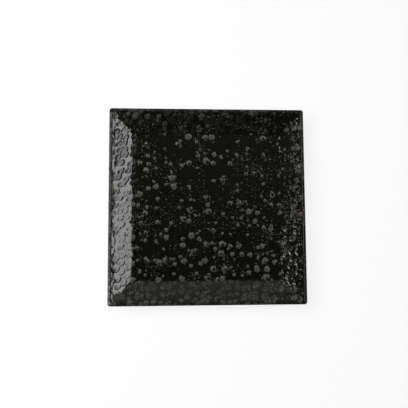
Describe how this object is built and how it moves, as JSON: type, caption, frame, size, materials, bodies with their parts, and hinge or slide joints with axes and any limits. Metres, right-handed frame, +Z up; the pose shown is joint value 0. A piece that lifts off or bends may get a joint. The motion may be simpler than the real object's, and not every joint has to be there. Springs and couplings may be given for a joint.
{
  "type": "square plate",
  "caption": "Square stoneware plate with a flat well, sloped sides, a thick bevelled lip and a bare foot ring, under a spotted black glaze, for serving food.",
  "frame": {"origin": "on the table, under the middle of the plate", "axes": "+Z up out of the well, +X and +Y along the plate's sides"},
  "size_m": [0.21, 0.21, 0.0225],
  "materials": {
    "stoneware": "bare fired clay, matt and a little sandy",
    "black_glaze": "glossy black glass with raised matt grey crystal spots"
  },
  "bodies": {
    "root": {"stoneware_body": "stoneware", "face_glaze": "black_glaze", "back_glaze": "black_glaze", "foot_well_glaze": "black_glaze"}
  },
  "joints": []
}
